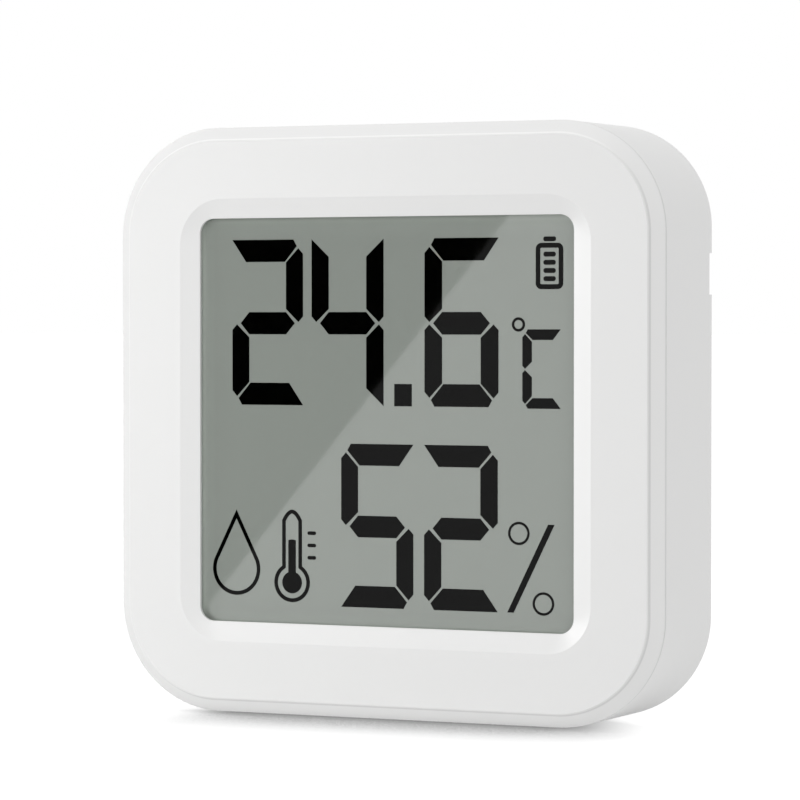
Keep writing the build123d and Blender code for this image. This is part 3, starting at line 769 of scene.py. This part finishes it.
# %% [markdown]
# ## Rings, slash and battery
# The degree sign and the percent sign have thin rings. A ring is a filled circle whose face is
# inset by the width of the line and then opened. The battery is drawn in the same way from a
# plane with rounded corners.


# %% Rings and rounded outlines
def disc(x, z, radius, sides=48):
    """A flat round plate that faces the viewer."""
    bpy.ops.object.select_all(action="DESELECT")
    bpy.ops.mesh.primitive_circle_add(
        vertices=sides,
        radius=radius * MM,
        fill_type="NGON",
        location=on_display(x, z),
        rotation=(math.pi / 2, 0, 0),
    )
    piece = bpy.context.object
    settle(piece)
    return piece


def open_outline(piece, line):
    """Leaves only an outline of this width along the plate's edge."""
    only(piece)
    bpy.ops.object.mode_set(mode="EDIT")
    bpy.ops.mesh.select_mode(type="FACE")
    bpy.ops.mesh.select_all(action="SELECT")
    bpy.ops.mesh.inset(thickness=line * MM, depth=0)
    bpy.ops.mesh.delete(type="FACE")
    bpy.ops.object.mode_set(mode="OBJECT")
    return piece


def rounded_plate(left, right, low, high, radius, steps=6):
    """A flat plate with rounded corners."""
    piece = new_plane(left, right, low, high)
    bpy.ops.object.mode_set(mode="EDIT")
    bpy.ops.mesh.select_mode(type="VERT")
    bpy.ops.mesh.select_all(action="SELECT")
    bpy.ops.mesh.bevel(offset=radius * MM, segments=steps, affect="VERTICES")
    bpy.ops.object.mode_set(mode="OBJECT")
    return piece


finish_sign("degree_ring", [open_outline(disc(10.32, 7.05, 0.51, sides=32), 0.19)])
upper_ring = open_outline(disc(10.36, -7.82, 0.83), 0.18)
lower_ring = copy_of(upper_ring, 1.89, -4.97)
slash = plate([(12.60, -7.15), (13.10, -7.15), (9.97, -13.48), (9.47, -13.48)])
finish_sign("percent_sign", [upper_ring, lower_ring, slash])

battery = [open_outline(rounded_plate(11.64, 13.74, 9.55, 12.83, 0.42), 0.35)]
battery.append(rounded_plate(12.22, 13.19, 12.94, 13.28, 0.15))
charge_bar = rounded_plate(12.23, 13.17, 11.855, 12.205, 0.16)
battery += [charge_bar] + [copy_of(charge_bar, 0, -0.58 * step) for step in (1, 2, 3)]
finish_sign("battery_sign", battery)
print("signs so far:", len(made_signs))

# %% [markdown]
# ## Comfort signs
# The lower left of the display has room for a small drawing in thin lines. Here it holds two
# plain signs for what the sensor measures: a drop of water for humidity, and a thermometer
# for temperature.

# %% Drop of water
DROP_MIDDLE = (-12.15, -10.95)
DROP_RADIUS = 1.95
DROP_TIP = 4.35
LINE = 0.29


def drop_plate(x, z, radius, tip):
    """A disc whose upper arc is drawn out to one point above it."""
    piece = disc(x, z, radius, sides=64)
    touch = on_display(x, z + radius * radius / tip).z
    for corner in piece.data.vertices:
        corner.select = corner.co.z > touch + 1e-7
    for flat in (*piece.data.edges, *piece.data.polygons):
        flat.select = False
    bpy.ops.object.mode_set(mode="EDIT")
    bpy.ops.mesh.select_mode(type="VERT")
    bpy.ops.mesh.merge(type="CENTER")
    bpy.ops.object.mode_set(mode="OBJECT")
    top = max(piece.data.vertices, key=lambda corner: corner.co.z)
    lift = on_display(x, z + tip).z - top.co.z
    bpy.ops.object.mode_set(mode="EDIT")
    bpy.ops.transform.translate(value=(0, 0, lift))
    bpy.ops.object.mode_set(mode="OBJECT")
    return piece


drop = open_outline(drop_plate(*DROP_MIDDLE, DROP_RADIUS, DROP_TIP), LINE)
finish_sign("drop_sign", [drop])
print("drop box in mm:", in_mm(made_signs[-1].dimensions))

# %% Thermometer
TUBE_MIDDLE = -7.60
BULB_MIDDLE = -11.85
BULB_SIDES = 64


def bulb_and_tube(radius, steps, rise, dome):
    """A disc whose top arc, this many corners to each side, is drawn up to a domed tube."""
    piece = disc(TUBE_MIDDLE, BULB_MIDDLE, radius, sides=BULB_SIDES)
    neck = radius * math.cos(2 * math.pi * steps / BULB_SIDES)
    neck_place = on_display(TUBE_MIDDLE, BULB_MIDDLE + neck)
    for corner in piece.data.vertices:
        corner.select = corner.co.z > neck_place.z - 1e-6
    for flat in (*piece.data.edges, *piece.data.polygons):
        flat.select = False
    bpy.ops.object.mode_set(mode="EDIT")
    bpy.ops.mesh.select_mode(type="VERT")
    bpy.ops.mesh.extrude_region_move(TRANSFORM_OT_translate={"value": (0, 0, rise * MM)})
    shoulder = neck_place + Vector((0, 0, rise * MM))
    bpy.ops.transform.resize(value=(1, 1, dome), center_override=shoulder)
    bpy.ops.mesh.select_all(action="SELECT")
    bpy.ops.mesh.dissolve_faces()
    bpy.ops.object.mode_set(mode="OBJECT")
    return piece


thermometer = [open_outline(bulb_and_tube(1.45, 6, 3.35, 3.2), LINE)]
thermometer.append(bulb_and_tube(0.80, 4, 2.35, 1.0))
mark = rounded_plate(-6.35, -5.65, -10.13, -9.87, 0.12)
thermometer += [mark] + [copy_of(mark, 0, 0.9 * step) for step in (1, 2)]
finish_sign("thermometer_sign", thermometer)
print("thermometer box in mm:", in_mm(made_signs[-1].dimensions))

# %% [markdown]
# ## Table and painted contact shadow
# The sensor stands on a plain white table that melts into the white background. To the camera
# the table glows in white, and only a little of what it shows is light that falls on it, so
# the lamps need not be bright. To the part it is white paint, which throws light up from below.
#
# The dark line under the sensor could be left to a lamp overhead, but such a shadow can't be
# drawn out to fit the photograph's. So the contact shadow is painted: the table's own material
# darkens its glow where the sensor is near. From each point it looks for the sensor in a given
# direction, and a ramp turns the share of open space into a tone. In front it looks backwards and
# straight up, and behind it looks up and forwards. Soft limits to the left and right end the
# painted shadow where the round corners lift off.

# %% Table with the painted contact shadow
SENSOR_FRONT = -6.0
FRONT_LOOK, FRONT_REACH = (-0.42, 0.91, 0.02), 13.0
FRONT_FADE = [
    (0.50, 0.17), (0.52, 0.26), (0.56, 0.45), (0.62, 0.67),
    (0.71, 0.84), (0.86, 0.97), (1.0, 1.0),
]
UP_LOOK, UP_REACH = (0, 0, 1), 2.5
UP_FADE = [(0.0, 0.25), (0.5, 0.60), (0.9, 1.0)]
REAR_LOOK, REAR_REACH = (0, -0.5, 0.87), 9.0
REAR_FADE = [(0.2, 0.35), (0.4, 0.60), (0.7, 0.88), (1.0, 1.0)]
SHADOW_MIDDLE, FRONT_ENDS, FRONT_SLANT = 2.8, (14.5, 22.0), 1.1
REAR_ENDS = (9.0, 16.0)
RIGHT_ENDS, RIGHT_SLANT = (12.3, 21.5), 0.4
FAINTEST, DEEPEST = 0.05, 0.85
PAINT, THIN_PAINT = 0.94, 0.14


def openness(tree, look, reach, fade):
    """The table's tone by how much open space it finds within reach in one direction, for the painted
    contact shadow.
    """
    normal = Signal.add(tree, "ShaderNodeCombineXYZ", {}, dict(zip("XYZ", look)))
    inputs = {"Distance": reach * MM, "Normal": normal}
    share = Signal.add(tree, "ShaderNodeAmbientOcclusion", {"samples": 16}, inputs, output="AO")
    return ramp(tree, share, fade)


def grey_paint(tree, tone):
    """A matt shader in an even grey."""
    return Signal.add(tree, "ShaderNodeBsdfDiffuse", {}, {"Color": (tone, tone, tone, 1)})


bpy.ops.object.select_all(action="DESELECT")
bpy.ops.mesh.primitive_plane_add(size=12.0, location=(0, 0, 0))
table = bpy.context.object
table.name = "table_top"
table.visible_glossy = False
table_white_painted_shadow, tree = empty_material("table_white_painted_shadow")
across, back = place_on_part(tree, "X"), place_on_part(tree, "Y") - SENSOR_FRONT * MM
in_front = openness(tree, UP_LOOK, UP_REACH, UP_FADE)
in_front = in_front * openness(tree, FRONT_LOOK, FRONT_REACH, FRONT_FADE)
behind = openness(tree, REAR_LOOK, REAR_REACH, REAR_FADE)
aside = abs(across - SHADOW_MIDDLE * MM) + FRONT_SLANT * back.at_least(0.0)
near_front = narrow_band(tree, aside, *FRONT_ENDS)
near_rear = narrow_band(tree, abs(across), *REAR_ENDS) * (back > -SENSOR_FRONT * MM)
to_the_right = narrow_band(tree, across + RIGHT_SLANT * back, *RIGHT_ENDS)
# Painted contact shadow: how far the table's glow is darkened near the sensor.
shade = (1 - in_front) * near_front + (1 - behind) * near_rear
glow = 1 - shade.at_most(FAINTEST + (DEEPEST - FAINTEST) * to_the_right)
lit = Signal.add(tree, "ShaderNodeEmission", {}, {"Color": glow, "Strength": 1.0})
shown_inputs = {0: grey_paint(tree, THIN_PAINT), 1: lit}
shown = Signal.add(tree, "ShaderNodeAddShader", {}, shown_inputs)
seen = Signal.add(tree, "ShaderNodeLightPath", {}, {}, output="Is Camera Ray")
sides = {0: seen, 1: grey_paint(tree, PAINT), 2: shown}
show(tree, Signal.add(tree, "ShaderNodeMixShader", {}, sides))
table.data.materials.append(table_white_painted_shadow)
table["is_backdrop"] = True
print("table", round(table.dimensions.x), "m wide")

# %% [markdown]
# ## World and lamps
# The world gives an even light from all sides. The camera, mirrors and clear plastic see it in
# full white, but it lights the part by less, so that pale surfaces keep their tone. Three
# lamps shape the object: a small soft one at the left makes the left part of the face brighter
# than the right one, a large one overhead lifts the top edges and the lower bevel, and a tall
# strip far to the left shines along the edges that face it. The strip would glare in the
# window when it is seen from the right, so it only lights the housing.

# %% World and lamps
WORLD_LIGHT = 0.71
world = bpy.data.worlds.new("studio")
bpy.context.scene.world = world
world.use_nodes = True
tree = world.node_tree
tree.nodes.clear()
path = tree.nodes.new("ShaderNodeLightPath").outputs
rays = ("Is Camera Ray", "Is Glossy Ray", "Is Transmission Ray")
seen = sum(Signal(path[ray]) for ray in rays).at_most(1.0)
strength = WORLD_LIGHT + (1 - WORLD_LIGHT) * seen
sky_inputs = {"Color": (1, 1, 1, 1), "Strength": strength}
sky = Signal.add(tree, "ShaderNodeBackground", {}, sky_inputs)
show(tree, sky, output="ShaderNodeOutputWorld")


def area_light(name, place, aim, width, energy, height=None):
    """A lamp that faces a point, in millimetres: square, unless it has a height of its own."""
    place, aim = Vector(place) * MM, Vector(aim) * MM
    turn = (aim - place).to_track_quat("-Z", "Y").to_euler()
    bpy.ops.object.light_add(type="AREA", location=place, rotation=turn)
    light = bpy.context.object
    light.name = name
    light.data.shape = "RECTANGLE" if height else "SQUARE"
    light.data.size = width * MM
    light.data.size_y = (height or width) * MM
    light.data.energy = energy
    print(name, round((aim - place).length / MM), "mm from what it faces")
    return light


sensor_middle = (0, 0, SENSOR_MIDDLE)
left_softbox = area_light("left_softbox", (-141, -192, 60), (-34, -6, 21), 60, 0.0066)
left_softbox.data.spread = math.radians(46)
left_softbox.visible_glossy = False
area_light("top_softbox", (-20, -130, 320), sensor_middle, 200, 0.16)
strip_light = area_light("strip_light", (-400, -290, 60), sensor_middle, 120, 3.4, height=500)
strip_light.visible_diffuse = False
housing_only = bpy.data.collections.new("strip_receivers")
for node in FINISHES[housing_white]:
    housing_only.objects.link(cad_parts[node])
strip_light.light_linking.receiver_collection = housing_only

# %% [markdown]
# ## Dark card for the window
# The slanting glare on the display is the white room, mirrored. What cuts it off is something
# dark in front of the sensor. A black card hangs there, seen by mirrors only. Its edge could be
# turned by eye. Here two rays are followed from the camera to points of the window on the line
# of the glare, and from there, mirrored, to the card, so its edge falls where the photograph
# has it.

# %% Dark card for the mirror side of the display
CARD_FAR, CARD_SIZE = 1.2, 0.36
CARD_EDGE = ((-19.6, -20.0), (14.4, 20.3))
lens_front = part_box("window_lens")[0].y
mirror_eye = Vector((CAMERA_PLACE.x, 2 * lens_front - CAMERA_PLACE.y, CAMERA_PLACE.z))


def mirrored_place(x, z):
    """Where the ray that mirrors at this point of the window meets the card's plane."""
    point = Vector((x * MM, lens_front, body_middle.z + z * MM))
    ray = point - mirror_eye
    return mirror_eye + ray * ((-CARD_FAR - mirror_eye.y) / ray.y)


ends = [mirrored_place(x, z) for x, z in CARD_EDGE]
edge = ends[1] - ends[0]
outward = Vector((-edge.z, 0, edge.x)).normalized()
if outward.x > 0:
    outward = -outward
card_middle = (ends[0] + ends[1]) / 2 + outward * CARD_SIZE / 2
card_turn = (math.pi / 2, -math.atan2(edge.z, edge.x), 0)
bpy.ops.object.select_all(action="DESELECT")
bpy.ops.mesh.primitive_plane_add(size=CARD_SIZE, location=card_middle, rotation=card_turn)
card = bpy.context.object
card.name = "dark_card"
card.visible_camera = False
card.visible_diffuse = False
card.visible_transmission = False
card.visible_shadow = False
card_black, tree = empty_material("card_black")
show(tree, grey_paint(tree, 0.0))
card.data.materials.append(card_black)
card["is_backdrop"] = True
print("card edge from", in_mm(ends[0]), "to", in_mm(ends[1]))

# %% [markdown]
# ## Sizes and finish
# The box of the solid model and the box of everything that shows are written out, so that both
# can be compared. They are the same, because the signs lie inside the window.

# %% Sizes and finish
visual_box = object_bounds()
print("visual box in mm:", in_mm(visual_box[1] - visual_box[0]))
